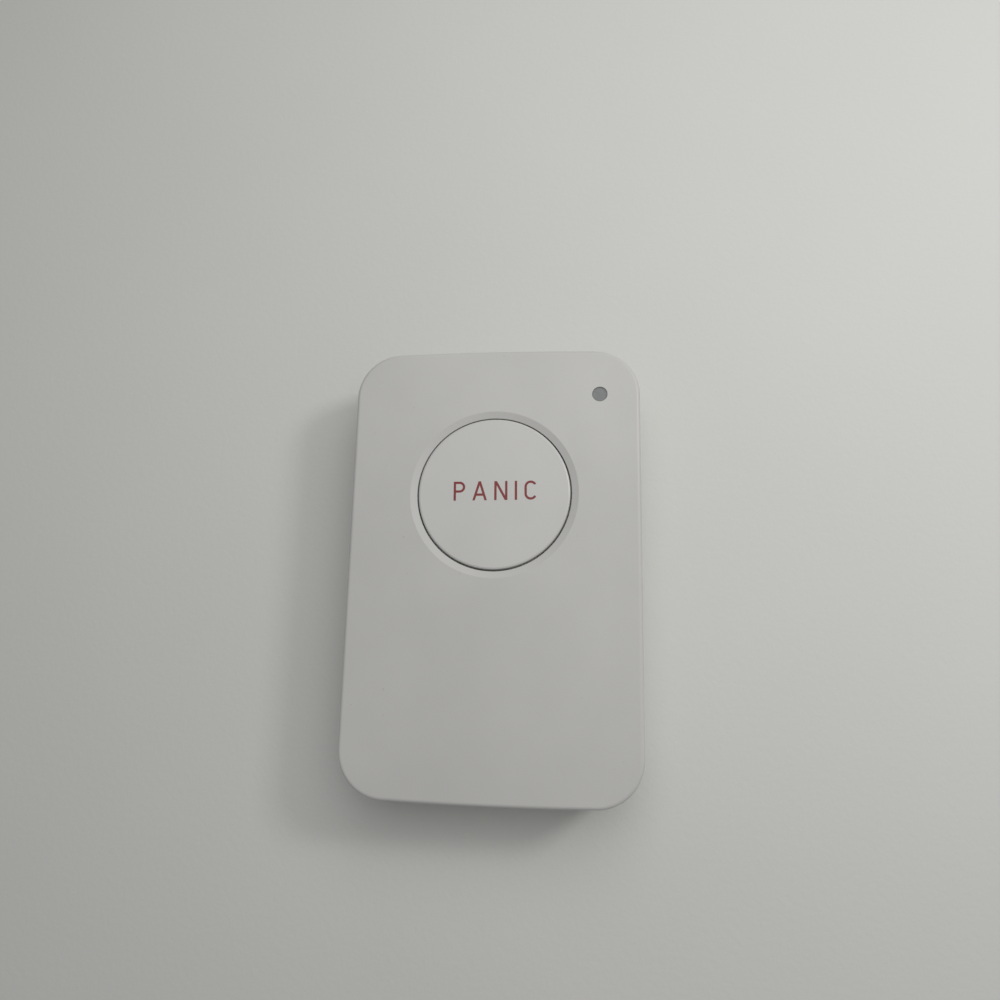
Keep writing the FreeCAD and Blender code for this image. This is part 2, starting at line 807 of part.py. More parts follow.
def loop_antenna():
    # A flat strip bent into a long low staple on edge, with two feet soldered to the board
    high = antenna_rise
    length = antenna_high_y - antenna_low_y
    loop = block(0, length, -antenna_width / 2, antenna_width / 2, 0, high)
    outer = [edge for edge in cross_edges(loop) if edge.BoundBox.ZMin > high / 2]
    loop = loop.makeFillet(antenna_bend, outer)
    inside = block(antenna_thickness, length - antenna_thickness, -antenna_width, antenna_width,
                   -spare, high - antenna_thickness)
    inner = [edge for edge in cross_edges(inside) if edge.BoundBox.ZMin > 0]
    loop = loop.cut(inside.makeFillet(antenna_bend - antenna_thickness, inner))
    feet = [
        block(-antenna_foot, overlap, -antenna_width / 2, antenna_width / 2, 0, antenna_thickness),
        block(length - overlap, length + antenna_foot, -antenna_width / 2, antenna_width / 2, 0,
              antenna_thickness),
    ]
    return placed(loop.multiFuse(feet).removeSplitter(), antenna_x, antenna_low_y, board_top_z, 90)


# Cell, holder and contacts

def coin_cell():
    # Wide positive can towards the door, smaller negative cap towards the board
    rim_z = cell_top_z - cell_cap_step
    return turned([
        (0, cell_bottom_z), (cell_radius - cell_edge, cell_bottom_z),
        (cell_radius, cell_bottom_z + cell_edge), (cell_radius, rim_z - cell_edge),
        (cell_radius - cell_edge, rim_z), (cell_cap_radius, rim_z), (cell_cap_radius, cell_top_z),
        (0, cell_top_z),
    ], 0, cell_y)


def battery_holder():
    # A moulded ring round the cell, with a seat against the board, two locating pegs and a slot
    # for the contact
    low = bay_floor_top_z + seat_gap
    ring = tube(0, cell_y, low, board_bottom_z, holder_outer_radius, holder_inner_radius)
    seat = tube(0, cell_y, board_bottom_z - holder_seat_thickness, board_bottom_z,
                holder_outer_radius - holder_wall / 2, holder_seat_radius)
    pegs = [post(x, y, board_bottom_z - holder_seat_thickness, board_top_z + holder_peg_rise,
                 holder_peg_radius) for x, y in holder_peg_spots]
    holder = ring.multiFuse([seat] + pegs)
    slot_half = contact_width / 2 + contact_play
    slot = block(-far_end, -cell_radius + holder_wall, cell_y - slot_half, cell_y + slot_half,
                 low - spare, board_bottom_z + spare)
    return holder.cut(slot).removeSplitter()


def positive_contact():
    # A spring strip beside the can, with its foot soldered under the board
    face = -cell_radius - contact_touch_gap
    low = bay_floor_top_z + seat_gap
    top = board_bottom_z
    strip = extruded([
        (face, top), (face - contact_foot, top), (face - contact_foot, top - contact_thickness),
        (face - contact_thickness, top - contact_thickness),
        (face - contact_thickness, low + contact_tip_rise),
        (face - 2 * contact_thickness, low), (face - contact_thickness, low),
        (face, low + contact_tip_rise),
    ], contact_width)
    return placed(strip, 0, cell_y)


def negative_contact():
    # A leaf under the board that slopes down to the cell's cap and turns up at its tip
    top = board_bottom_z
    touch = cell_top_z + contact_touch_gap
    start = -leaf_length / 2
    bend = start + leaf_foot
    end = leaf_length / 2
    leaf = extruded([
        (start, top), (bend, top), (end - leaf_tip, touch + leaf_thickness),
        (end, touch + 2 * leaf_thickness), (end, touch + leaf_thickness), (end - leaf_tip, touch),
        (bend, top - leaf_thickness), (start, top - leaf_thickness),
    ], leaf_width)
    return placed(leaf, 0, cell_y)


# Screws

def screw(seat_z, radius, length, head_radius, head_height):
    # A flat round head below the seat with a cross recess, and a plain shank above it
    head_z = seat_z - head_height
    blank = post(0, 0, head_z, seat_z, head_radius, head_sides)
    blank = blank.fuse(post(0, 0, seat_z, seat_z + length, radius))
    share = head_radius / case_screw_head_radius
    recess_z = head_z + cross_depth * share
    for length_x, length_y in ((cross_length, cross_width), (cross_width, cross_length)):
        blank = blank.cut(centred_block(0, 0, length_x * share, length_y * share, head_z - spare, recess_z))
    return blank.removeSplitter()


def case_screws():
    # In the rear cover's counterbores, up through the board into the front cover's bosses
    blank = screw(counterbore_depth, case_screw_radius, case_screw_length, case_screw_head_radius,
                  case_screw_head_height)
    return Part.makeCompound([placed(blank, x, y) for x, y in case_screw_spots])


def board_screws():
    # Under the board, up through it into the front cover's standoffs
    blank = screw(board_bottom_z, board_screw_radius, board_screw_length, board_screw_head_radius,
                  board_screw_head_height)
    return Part.makeCompound([placed(blank, x, y) for x, y in board_screw_spots])


nodes = {
    "front_cover": front_cover,
    "rear_cover": rear_cover,
    "battery_door": battery_door,
    "button_cap": button_cap,
    "return_spring": return_spring,
    "switch_body": switch_body,
    "switch_frame": switch_frame,
    "switch_plunger": switch_plunger,
    "snap_dome": snap_dome,
    "switch_terminals": switch_terminals,
    "status_lamp": status_lamp,
    "lamp_window": lamp_window,
    "circuit_board": circuit_board,
    "microcontroller": microcontroller,
    "microcontroller_leads": microcontroller_leads,
    "radio_chip": radio_chip,
    "crystal": crystal,
    "capacitors": capacitors,
    "resistors": resistors,
    "inductors": inductors,
    "loop_antenna": loop_antenna,
    "coin_cell": coin_cell,
    "battery_holder": battery_holder,
    "positive_contact": positive_contact,
    "negative_contact": negative_contact,
    "case_screws": case_screws,
    "board_screws": board_screws,
}

os.makedirs("parts", exist_ok=True)
for name, make in nodes.items():
    shape = make()
    shape.exportStep("parts/" + name + ".step")
    print(name, "solids", len(shape.Solids), "valid", shape.isValid(), "volume", round(shape.Volume, 2))
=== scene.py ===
import bpy
import bmesh
import math
import numpy as np
from mathutils import Matrix, Vector


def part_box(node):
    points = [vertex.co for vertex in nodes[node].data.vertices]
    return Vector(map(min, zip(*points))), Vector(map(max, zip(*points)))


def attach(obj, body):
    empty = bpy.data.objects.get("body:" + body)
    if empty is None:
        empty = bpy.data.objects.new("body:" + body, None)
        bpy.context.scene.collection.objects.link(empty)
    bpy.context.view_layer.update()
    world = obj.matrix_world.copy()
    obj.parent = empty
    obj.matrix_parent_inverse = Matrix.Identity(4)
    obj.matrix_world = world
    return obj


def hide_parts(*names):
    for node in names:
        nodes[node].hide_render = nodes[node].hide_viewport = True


# Looks of a wireless panic button, built round its CAD frame. Metres, +Z out of the front face.

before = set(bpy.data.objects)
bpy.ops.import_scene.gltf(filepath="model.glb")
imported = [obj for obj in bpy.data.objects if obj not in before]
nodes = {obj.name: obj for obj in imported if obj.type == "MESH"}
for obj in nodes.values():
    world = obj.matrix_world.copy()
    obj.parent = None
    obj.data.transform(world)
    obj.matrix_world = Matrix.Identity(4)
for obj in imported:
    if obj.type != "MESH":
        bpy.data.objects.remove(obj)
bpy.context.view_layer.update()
print("frame loaded:", len(nodes), "nodes")

millimetre = 0.001
mergeDistance = 1e-8


# Meshes from grids of points

def gridMesh(name, sheets, material, body):
    # Every sheet is a grid of points, rows by columns, whose columns close on themselves. Its first
    # and last rows are closed by one face each, so that each sheet is a closed skin.
    points, faces, start = [], [], 0
    for sheet in sheets:
        rows, columns = sheet.shape[:2]
        index = np.arange(rows * columns).reshape(rows, columns) + start
        beside = np.roll(index, -1, axis=1)
        quads = np.stack([index[:-1], beside[:-1], beside[1:], index[1:]], axis=-1).reshape(-1, 4)
        faces += quads.tolist() + [index[0][::-1].tolist(), index[-1].tolist()]
        points.append(sheet.reshape(-1, 3))
        start += rows * columns
    mesh = bpy.data.meshes.new(name)
    mesh.from_pydata(np.concatenate(points).tolist(), [], faces)
    mesh.validate()
    work = bmesh.new()
    work.from_mesh(mesh)
    bmesh.ops.remove_doubles(work, verts=work.verts, dist=mergeDistance)
    bmesh.ops.recalc_face_normals(work, faces=work.faces)
    work.to_mesh(mesh)
    work.free()
    mesh.materials.append(material)
    piece = bpy.data.objects.new(name, mesh)
    bpy.context.scene.collection.objects.link(piece)
    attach(piece, body)
    return piece


def inkStroke(path, half, low, high):
    # A flat bar along a path. Each point of the path gives four corners: the point plus and minus
    # half, which is the vector to the bar's edge, each at the heights low and high.
    path, half = np.asarray(path, float), np.asarray(half, float)
    left, right = path + half, path - half
    corners = [(left, high), (right, high), (right, low), (left, low)]
    return np.stack([np.column_stack([side, np.full(len(path), z)]) for side, z in corners], axis=1)


def evenStroke(path, width, low, high):
    # A bar of even width: the vector to its edge is the path's direction, turned by a quarter
    # and made half the width long
    path = np.asarray(path, float)
    along = np.gradient(path, axis=0)
    along /= np.linalg.norm(along, axis=1, keepdims=True)
    return inkStroke(path, np.column_stack([-along[:, 1], along[:, 0]]) * width / 2, low, high)


def arcPoints(centre, radius, startAngle, endAngle, count=25):
    # The centre plus the radius times the cosine and sine of evenly spaced angles, in degrees
    angles = np.radians(np.linspace(startAngle, endAngle, count))
    return np.column_stack([centre[0] + radius * np.cos(angles), centre[1] + radius * np.sin(angles)])


# Node trees

noiseSpread = (0.3, 0.7)        # nearly all values of a noise lie in between


def addNode(tree, kind, values=None, **settings):
    node = tree.nodes.new(kind)
    for key, value in settings.items():
        setattr(node, key, value)
    for socket, value in (values or {}).items():
        if isinstance(value, bpy.types.NodeSocket):
            tree.links.new(value, node.inputs[socket])
        else:
            node.inputs[socket].default_value = value
    return node


def startMaterial(name, **shaderValues):
    material = bpy.data.materials.new(name)
    material.use_nodes = True
    tree = material.node_tree
    shader = tree.nodes["Principled BSDF"]
    for socket, value in shaderValues.items():
        shader.inputs[socket.replace("_", " ")].default_value = value
    place = addNode(tree, "ShaderNodeTexCoord").outputs["Object"]
    return material, tree, shader, place


def noise(tree, place, scale, detail, stretch=None):
    if stretch:
        place = addNode(tree, "ShaderNodeMapping", {"Vector": place, "Scale": stretch}).outputs[0]
    values = {"Vector": place, "Scale": scale, "Detail": detail}
    return addNode(tree, "ShaderNodeTexNoise", values).outputs[0]


def remap(tree, value, fromLow, fromHigh, toLow=0.0, toHigh=1.0):
    return addNode(tree, "ShaderNodeMapRange", {
        "Value": value, "From Min": fromLow, "From Max": fromHigh, "To Min": toLow, "To Max": toHigh,
    }).outputs[0]


def maths(tree, operation, first, second=0.0):
    return addNode(tree, "ShaderNodeMath", {0: first, 1: second}, operation=operation).outputs[0]


def mixColour(tree, share, first, second):
    node = addNode(tree, "ShaderNodeMix", {0: share, 6: first, 7: second}, data_type="RGBA")
    return node.outputs[2]


def opaque(colour):
    return (*colour, 1.0)


def shaded(colour, share):
    return opaque([channel * share for channel in colour])


def axisOf(tree, place, axis):
    return addNode(tree, "ShaderNodeSeparateXYZ", {0: place}).outputs["XYZ".index(axis)]


def axisDistance(tree, place, middle):
    # How far a point is from the upright axis through middle: the length of its level offset
    shift = {"Vector": place, "Location": (-middle.x, -middle.y, 0.0)}
    centred = addNode(tree, "ShaderNodeMapping", shift).outputs[0]
    level = {0: centred, 1: (1.0, 1.0, 0.0)}
    flat = addNode(tree, "ShaderNodeVectorMath", level, operation="MULTIPLY").outputs[0]
    return addNode(tree, "ShaderNodeVectorMath", {0: flat}, operation="LENGTH").outputs["Value"]


def bump(tree, height, distance, normal=None):
    values = {"Height": height, "Distance": distance, "Strength": 1.0}
    if normal is not None:
        values["Normal"] = normal
    return addNode(tree, "ShaderNodeBump", values).outputs[0]


def roundedEdges(tree, radius):
    return addNode(tree, "ShaderNodeBevel", {"Radius": radius}, samples=6).outputs[0]


def feed(tree, value, shader, socket):
    tree.links.new(value, shader.inputs[socket])


def feedRoughness(tree, value, shader, finish, spread=noiseSpread):
    # The spread of a noise's values becomes the finish's range of roughness
    feed(tree, remap(tree, value, *spread, *finish["roughness"]), shader, "Roughness")


# Moulded plastics

housingFinish = {
    "colour": (0.538, 0.536, 0.521),
    "cloudScale": 55.0,         # broad patches, per metre
    "cloudiness": 0.035,        # share by which they differ
    "speckColour": (0.30, 0.28, 0.25),
    "speckShare": 0.35,
    "speckScale": 1500.0,
    "speckPeaks": (0.77, 0.80),
    "speckAreaScale": 160.0,
    "speckAreas": (0.52, 0.62),
    "specular": 0.45,
    "roughness": (0.38, 0.50),
    "smearScale": 140.0,
    "smearStretch": (1.0, 0.35, 1.0),
    "grainScale": 5200.0,       # spark-eroded texture
    "grainDepth": 0.000010,
    "waveScale": 70.0,          # slow unevenness of the moulded face
    "waveDepth": 0.000030,
    "edgeRadius": 0.00012,
    "seed": (0.0, 0.0, 0.0),
}
buttonFinish = dict(housingFinish, colour=(0.568, 0.567, 0.551), roughness=(0.31, 0.39),
                    grainDepth=0.000008, seed=(0.31, 0.17, 0.05))


def mouldedPlastic(name, finish):
    # Satin plastic: a cloudy colour, smeared gloss, slow waves and a fine grain
    material, tree, shader, place = startMaterial(name, Specular_IOR_Level=finish["specular"])
    place = addNode(tree, "ShaderNodeMapping", {"Vector": place, "Location": finish["seed"]}).outputs[0]
    colour, differ = finish["colour"], finish["cloudiness"]
    cloud = remap(tree, noise(tree, place, finish["cloudScale"], 3.0), *noiseSpread)
    patches = mixColour(tree, cloud, shaded(colour, 1.0 - differ), shaded(colour, 1.0 + differ))
    # Sparse fine specks: only the peaks of a fine noise, thinned out by a broad one
    fine = remap(tree, noise(tree, place, finish["speckScale"], 1.0), *finish["speckPeaks"])
    area = remap(tree, noise(tree, place, finish["speckAreaScale"], 1.0), *finish["speckAreas"])
    specks = maths(tree, "MULTIPLY", maths(tree, "MULTIPLY", fine, area), finish["speckShare"])
    feed(tree, mixColour(tree, specks, patches, opaque(finish["speckColour"])), shader, "Base Color")
    smear = noise(tree, place, finish["smearScale"], 4.0, stretch=finish["smearStretch"])
    feedRoughness(tree, smear, shader, finish)
    edges = roundedEdges(tree, finish["edgeRadius"])
    waves = bump(tree, noise(tree, place, finish["waveScale"], 1.0), finish["waveDepth"], edges)
    grain = bump(tree, noise(tree, place, finish["grainScale"], 2.0), finish["grainDepth"], waves)
    feed(tree, grain, shader, "Normal")
    return material


darkFinish = {
    "colour": (0.028, 0.028, 0.030),
    "patchScale": 300.0,
    "patchShades": (0.8, 1.35),
    "roughness": (0.42, 0.58),
    "grainScale": 3800.0,
    "grainDepth": 0.000008,
    "edgeRadius": 0.00005,
}
chipFinish = dict(darkFinish, colour=(0.045, 0.045, 0.048), roughness=(0.55, 0.70), grainScale=9000.0,
                  grainDepth=0.000006)


def darkPlastic(name, finish):
    # A dull dark body with a fine grain, its colour a little uneven
    material, tree, shader, place = startMaterial(name)
    grain = noise(tree, place, finish["grainScale"], 3.0)
    patches = noise(tree, place, finish["patchScale"], 2.0)
    darker, lighter = [shaded(finish["colour"], share) for share in finish["patchShades"]]
    feed(tree, mixColour(tree, patches, darker, lighter), shader, "Base Color")
    feedRoughness(tree, grain, shader, finish)
    edges = roundedEdges(tree, finish["edgeRadius"])
    feed(tree, bump(tree, grain, finish["grainDepth"], edges), shader, "Normal")
    return material


windowFinish = {
    "colour": (0.150, 0.159, 0.159),
    # Painted shade: the darker colour at the rim stands in for the shade of the lamp hole's edge
    "rimShadeColour": (0.124, 0.132, 0.132),
    "radius": 1.15 * millimetre,
    "rimShadeStart": 0.72,           # where the painted rim shade starts, as a share of the radius
    "roughness": 0.30,
    "coat": 0.35,
    "coatRoughness": 0.12,
    "hazeScale": 1400.0,
    "hazeShades": (0.9, 1.1),
    "waveScale": 900.0,
    "waveDepth": 0.000004,
}


def smokedWindow(name, finish):
    # Smoked clear plastic under a polished face; its tint darkens towards the rim with painted shade,
    # standing in for the shade of the lamp hole's edge
    low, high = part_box("lamp_window")
    material, tree, shader, place = startMaterial(
        name, Coat_Weight=finish["coat"], Coat_Roughness=finish["coatRoughness"],
        Roughness=finish["roughness"])
    distance = axisDistance(tree, place, (low + high) / 2)
    # Painted shade: the tint darkens from the rim shade's start out to the radius, all round, as the
    # hole's edge would shade it
    rimShade = remap(tree, distance, finish["rimShadeStart"] * finish["radius"], finish["radius"])
    haze = noise(tree, place, finish["hazeScale"], 2.0)
    shade = remap(tree, haze, *noiseSpread, *finish["hazeShades"])
    shadedTint = mixColour(tree, rimShade, opaque(finish["colour"]), opaque(finish["rimShadeColour"]))
    hazed = addNode(tree, "ShaderNodeVectorMath", {0: shadedTint, 3: shade}, operation="SCALE").outputs[0]
    feed(tree, hazed, shader, "Base Color")
    waves = noise(tree, place, finish["waveScale"], 1.0)
    feed(tree, bump(tree, waves, finish["waveDepth"]), shader, "Normal")
    return material


inkFinish = {
    "colour": (0.205, 0.018, 0.019),
    "thinColour": (0.265, 0.038, 0.036),
    "roughness": (0.35, 0.50),
    "coverScale": 2600.0,
    "thinWhere": (0.45, 0.75),
    "coverDepth": 0.000004,
}


def padInk(name, finish):
    # Printed ink, a little thinner in places
    material, tree, shader, place = startMaterial(name)
    cover = noise(tree, place, finish["coverScale"], 3.0)
    thin = remap(tree, cover, *finish["thinWhere"])
    feed(tree, mixColour(tree, thin, opaque(finish["colour"]), opaque(finish["thinColour"])),
         shader, "Base Color")
    feedRoughness(tree, cover, shader, finish)
    feed(tree, bump(tree, cover, finish["coverDepth"]), shader, "Normal")
    return material


# Metals

metalFinishes = {
    "springSteel": {"colour": (0.55, 0.54, 0.51), "roughness": (0.25, 0.42), "streak": (1.0, 9.0, 9.0)},
    "brightSteel": {"colour": (0.70, 0.70, 0.69), "roughness": (0.20, 0.34), "streak": (1.0, 12.0, 1.0)},
    "zincSteel": {"colour": (0.56, 0.58, 0.60), "roughness": (0.26, 0.46), "streak": (3.0, 3.0, 1.0)},
    "tinnedMetal": {"colour": (0.66, 0.66, 0.64), "roughness": (0.30, 0.48), "streak": (2.0, 2.0, 2.0)},
    "antennaStrip": {"colour": (0.70, 0.46, 0.24), "roughness": (0.24, 0.44), "streak": (9.0, 1.0, 9.0)},
    # Painted shade: darker steel for the cell's plus sign, standing in for the shading of a stamped mark
    "shadedMarkSteel": {"colour": (0.30, 0.30, 0.29), "roughness": (0.42, 0.60), "streak": (2.0, 2.0, 2.0)},
}
metalWear = {
    "streakScale": 900.0,
    "ringScale": 9000.0,
    "patchScale": 260.0,
    "patchShades": (0.82, 1.12),
    "blendSpread": (0.35, 0.65),
    "streakDepth": 0.000004,
    "edgeRadius": 0.00004,
}


def brushedMetal(name, finish, wear, around=None):
    # Fine streaks along one axis, or in rings round an upright axis; broad dull patches over them
    material, tree, shader, place = startMaterial(name, Metallic=1.0)
    if around is None:
        streaks = noise(tree, place, wear["streakScale"], 3.0, stretch=finish["streak"])
    else:
        rings = addNode(tree, "ShaderNodeCombineXYZ", {0: axisDistance(tree, place, around)}).outputs[0]
        streaks = noise(tree, rings, wear["ringScale"], 3.0)
    patches = noise(tree, place, wear["patchScale"], 3.0)
    darker, lighter = [shaded(finish["colour"], share) for share in wear["patchShades"]]
    feed(tree, mixColour(tree, patches, darker, lighter), shader, "Base Color")
    blend = maths(tree, "MULTIPLY", maths(tree, "ADD", streaks, patches), 0.5)
    feedRoughness(tree, blend, shader, finish, wear["blendSpread"])
    edges = roundedEdges(tree, wear["edgeRadius"])
    feed(tree, bump(tree, streaks, wear["streakDepth"], edges), shader, "Normal")
    return material


# Board and small parts

boardFinish = {
    "resist": (0.016, 0.105, 0.045),
    "overCopper": (0.030, 0.180, 0.070),
    "edge": (0.42, 0.36, 0.20),
    "edgeShade": 0.7,
    "roughness": 0.32,
    "coat": 0.25,
    "trackPitch": 2.10 * millimetre,
    "trackLength": 5.46 * millimetre,
    "trackGap": 0.22 * millimetre,
    "trackHeight": 0.03 * millimetre,
    "trackAreaScale": 150.0,
    "trackAreas": (0.45, 0.50),
    "weaveScale": 1200.0,
    "weaveStretch": (1.0, 1.0, 6.0),
}


def boardLaminate(name, finish):
    # Green resist, lighter over the copper tracks below it, and bare glass fibre at the cut edges
    material, tree, shader, place = startMaterial(name, Roughness=finish["roughness"],
                                                  Coat_Weight=finish["coat"])
    tracks = addNode(tree, "ShaderNodeTexBrick", {
        "Vector": place, "Scale": 1.0, "Color1": (1, 1, 1, 1), "Color2": (0.6, 0.6, 0.6, 1),
        "Mortar": (0, 0, 0, 1), "Mortar Size": finish["trackGap"], "Brick Width": finish["trackLength"],
        "Row Height": finish["trackPitch"],
    }).outputs["Color"]
    area = remap(tree, noise(tree, place, finish["trackAreaScale"], 1.0), *finish["trackAreas"])
    raised = maths(tree, "MULTIPLY", tracks, area)
    green = mixColour(tree, raised, opaque(finish["resist"]), opaque(finish["overCopper"]))
    weave = noise(tree, place, finish["weaveScale"], 1.0, stretch=finish["weaveStretch"])
    fibre = mixColour(tree, weave, shaded(finish["edge"], finish["edgeShade"]), opaque(finish["edge"]))
    facing = addNode(tree, "ShaderNodeNewGeometry").outputs["Normal"]
    level = maths(tree, "GREATER_THAN", maths(tree, "ABSOLUTE", axisOf(tree, facing, "Z")), 0.5)
    feed(tree, mixColour(tree, level, fibre, green), shader, "Base Color")
    feed(tree, bump(tree, raised, finish["trackHeight"]), shader, "Normal")
    return material


chipBodies = {
    "capacitors": (0.36, 0.25, 0.15),
    "resistors": (0.030, 0.030, 0.036),
    "inductors": (0.060, 0.058, 0.060),
}
cappedFinish = {
    "endColour": (0.66, 0.66, 0.64),
    "endLength": 0.35 * millimetre,
    "grainScale": 4200.0,
    "grainDepth": 0.000006,
    "bodyShades": (0.75, 1.25),
    "roughness": (0.32, 0.52),
    "edgeRadius": 0.00005,
}


def endCappedChip(name, node, bodyColour, finish):
    # A fired body between two tinned ends. The chips lie in a column along Y, so an end is where
    # a point is far from the column's middle.
    low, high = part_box(node)
    material, tree, shader, place = startMaterial(name)
    offset = maths(tree, "SUBTRACT", axisOf(tree, place, "X"), (low.x + high.x) / 2)
    ends = maths(tree, "GREATER_THAN", maths(tree, "ABSOLUTE", offset),
                 (high.x - low.x) / 2 - finish["endLength"])
    grain = noise(tree, place, finish["grainScale"], 3.0)
    darker, lighter = [shaded(bodyColour, share) for share in finish["bodyShades"]]
    body = mixColour(tree, grain, darker, lighter)
    feed(tree, mixColour(tree, ends, body, opaque(finish["endColour"])), shader, "Base Color")
    feed(tree, ends, shader, "Metallic")
    feedRoughness(tree, grain, shader, finish)
    edges = roundedEdges(tree, finish["edgeRadius"])
    feed(tree, bump(tree, grain, finish["grainDepth"], edges), shader, "Normal")
    return material


lampFinish = {
    "carrier": (0.80, 0.78, 0.72),
    "lens": (0.72, 0.30, 0.22),
    "lensShade": 0.85,
    "hazeScale": 2600.0,
    "roughness": (0.18, 0.32),
    "coat": 0.5,
    "coatRoughness": 0.1,
}


def lampResin(name, finish):
    # A pale carrier below and tinted clear resin above
    low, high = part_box("status_lamp")
    material, tree, shader, place = startMaterial(name, Coat_Weight=finish["coat"],
                                                  Coat_Roughness=finish["coatRoughness"])
    upper = maths(tree, "GREATER_THAN", axisOf(tree, place, "Z"), (low.z + high.z) / 2)
    haze = noise(tree, place, finish["hazeScale"], 2.0)
    lens = mixColour(tree, haze, shaded(finish["lens"], finish["lensShade"]), opaque(finish["lens"]))
    feed(tree, mixColour(tree, upper, opaque(finish["carrier"]), lens), shader, "Base Color")
    feedRoughness(tree, haze, shader, finish)
    return material


# Each node gets its material

cellLow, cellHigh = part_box("coin_cell")
cellMiddle = (cellLow + cellHigh) / 2
housingPlastic = mouldedPlastic("housingPlastic", housingFinish)
blackPlastic = darkPlastic("blackPlastic", darkFinish)
chipResin = darkPlastic("chipResin", chipFinish)
metals = {name: brushedMetal(name, finish, metalWear) for name, finish in metalFinishes.items()}
dressing = {
    "front_cover": housingPlastic,
    "rear_cover": housingPlastic,
    "battery_door": housingPlastic,
    "button_cap": mouldedPlastic("buttonPlastic", buttonFinish),
    "lamp_window": smokedWindow("smokedWindow", windowFinish),
    "status_lamp": lampResin("lampResin", lampFinish),
    "switch_body": blackPlastic,
    "switch_plunger": blackPlastic,
    "battery_holder": blackPlastic,
    "microcontroller": chipResin,
    "radio_chip": chipResin,
    "circuit_board": boardLaminate("boardLaminate", boardFinish),
    "coin_cell": brushedMetal("spunSteel", metalFinishes["brightSteel"], metalWear, around=cellMiddle),
    "switch_frame": metals["brightSteel"],
    "crystal": metals["brightSteel"],
    "return_spring": metals["springSteel"],
    "snap_dome": metals["springSteel"],
    "positive_contact": metals["springSteel"],
    "negative_contact": metals["springSteel"],
    "switch_terminals": metals["tinnedMetal"],
    "microcontroller_leads": metals["tinnedMetal"],
    "case_screws": metals["zincSteel"],
    "board_screws": metals["zincSteel"],
    "loop_antenna": metals["antennaStrip"],
}
for node, bodyColour in chipBodies.items():
    dressing[node] = endCappedChip(node + "Finish", node, bodyColour, cappedFinish)
for node, material in dressing.items():
    for slot in nodes[node].material_slots:
        slot.material = material
print("CAD nodes dressed:", len(dressing), "of", len(nodes))


# Lettering on the button: its function in plain capitals of the builder's own, or nothing at all

lettering = {
    "shown": True,
    "word": "PANIC",
    "height": 3.0 * millimetre,
    "stroke": 0.36 * millimetre,
    "gap": 1.14 * millimetre,           # the same between all letters
    "widths": {"P": 0.60, "A": 0.76, "N": 0.68, "C": 0.64},     # as shares of the height
    "thickness": 0.020 * millimetre,
    "sunk": 0.010 * millimetre,         # how far it reaches down into the button
    "overlapStep": 0.0004 * millimetre,  # between the tops of crossing strokes
    "above": 0.46 * millimetre,         # its middle above the button's
    "aside": 0.20 * millimetre,         # and to the right of it
    "turn": 0.8,                        # degrees by which the button is turned in its guide
    "bowlShare": 0.58,                  # height of the P's bowl
    "barShare": 0.30,                   # height of the A's crossbar
    "openAngle": 28.0,                  # where the C's ends stop
}


def letterWidth(letter, look):
    return look["widths"][letter] * look["height"] if letter in look["widths"] else look["stroke"]


def letterStrokes(letter, look, low, high):
    # The letter's bars, each along the centre line of a stroke, with the letter's lower left
    # corner at the origin
    width, height = letterWidth(letter, look), look["height"]
    stroke = look["stroke"]
    half = stroke / 2
    top, right = height - half, width - half

    def slanted(start, end):
        # A leaning bar whose two ends are cut level
        run, rise = end[0] - start[0], end[1] - start[1]
        reach = half * math.hypot(run, rise) / abs(rise)
        return inkStroke([start, end], [(reach, 0.0), (reach, 0.0)], low, high)

    def upright(x):
        return evenStroke([(x, 0.0), (x, height)], stroke, low, high)

    if letter == "P":
        bowlFoot = height * (1.0 - look["bowlShare"]) + half
        radius = (top - bowlFoot) / 2
        bend = arcPoints((right - radius, (top + bowlFoot) / 2), radius, 90.0, -90.0)
        bowl = np.vstack([(half, top), bend, (half, bowlFoot)])
        return [upright(half), evenStroke(bowl, stroke, low, high)]
    if letter == "A":
        lean = half * math.hypot(width / 2, height) / height
        bar = height * look["barShare"]
        inset = lean + (width / 2 - lean) * bar / height
        peak = (width / 2, height)
        return [slanted((lean, 0.0), peak), slanted((width - lean, 0.0), peak),
                evenStroke([(inset, bar), (width - inset, bar)], stroke, low, high)]
    if letter == "N":
        lean = half * math.hypot(width - stroke, height) / height
        return [upright(half), upright(right), slanted((lean, height), (width - lean, 0.0))]
    if letter == "C":
        radius = (width - stroke) / 2
        opening = look["openAngle"]
        path = np.vstack([arcPoints((width / 2, top - radius), radius, opening, 180.0),
                          arcPoints((width / 2, half + radius), radius, 180.0, 360.0 - opening)])
        return [evenStroke(path, stroke, low, high)]
    return [upright(half)]      # the I


def makeLettering(look):
    # Strokes turned by a rotation matrix and moved to the button's face, letter after letter
    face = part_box("button_cap")[1].z
    plungerLow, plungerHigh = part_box("switch_plunger")
    centre = (plungerLow + plungerHigh) / 2
    turn = math.radians(look["turn"])
    turned = np.array([[math.cos(turn), math.sin(turn)], [-math.sin(turn), math.cos(turn)]])
    middle = (centre.x + look["aside"], centre.y + look["above"])
    widths = [letterWidth(letter, look) for letter in look["word"]]
    left = -(sum(widths) + look["gap"] * (len(widths) - 1)) / 2
    sheets = []
    for letter, width in zip(look["word"], widths):
        shift = np.array([left, -look["height"] / 2])
        for number, sheet in enumerate(letterStrokes(letter, look, -look["sunk"], look["thickness"])):
            sheet[..., :2] = (sheet[..., :2] + shift) @ turned + middle
            sheet[..., 2] += face - number * look["overlapStep"]
            sheets.append(sheet)
        left += width + look["gap"]
    ink = padInk("lettersInk", inkFinish)
    return gridMesh("button_lettering", sheets, ink, "button")


if lettering["shown"]:
    makeLettering(lettering)
    print("lettering made")


# Screws, with a domed head, a cross recess and a thread

